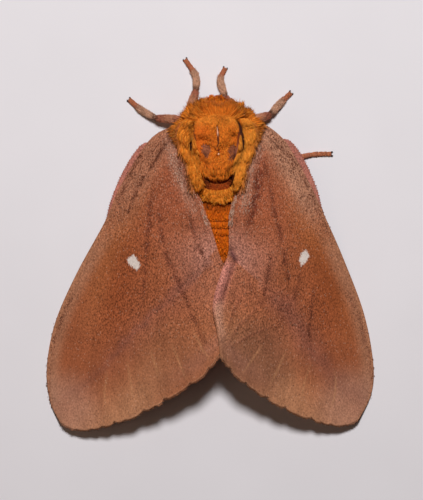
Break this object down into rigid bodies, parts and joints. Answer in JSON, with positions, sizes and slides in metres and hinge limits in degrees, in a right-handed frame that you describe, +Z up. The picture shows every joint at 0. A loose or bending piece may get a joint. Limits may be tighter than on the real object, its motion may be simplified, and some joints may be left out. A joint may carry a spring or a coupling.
{
  "type": "oslars oakworm moth",
  "caption": "Life-size still model of a female oslars oakworm moth at rest, wings folded like a low roof over a furry body, feet, belly and wing tips on the floor.",
  "frame": {"origin": "on the floor below the middle of the moth's outline", "axes": "+Z up, out of the moth's back; +Y towards its head; +X towards its right side"},
  "size_m": [0.0316, 0.0362, 0.0088],
  "materials": {
    "coat": "shaggy orange-brown hair",
    "abdomen": "short orange-brown hair",
    "forewing": "matt brown scales, violet-grey towards the margin, with a pale spot",
    "hindwing": "matt pinkish brown scales",
    "leg": "pinkish grey scales with dark joints",
    "antenna": "matt brown",
    "eye": "glossy near-black"
  },
  "bodies": {
    "root": {"head": "coat", "eye_left": "eye", "eye_right": "eye", "antenna_left": "antenna", "antenna_right": "antenna", "thorax": "coat", "tegula_left": "coat", "tegula_right": "coat", "abdomen": "abdomen", "forewing_left": "forewing", "forewing_right": "forewing", "hindwing_left": "hindwing", "hindwing_right": "hindwing", "leg_front_left": "leg", "leg_front_right": "leg", "leg_mid_left": "leg", "leg_mid_right": "leg", "leg_hind_left": "leg", "leg_hind_right": "leg"}
  },
  "joints": []
}
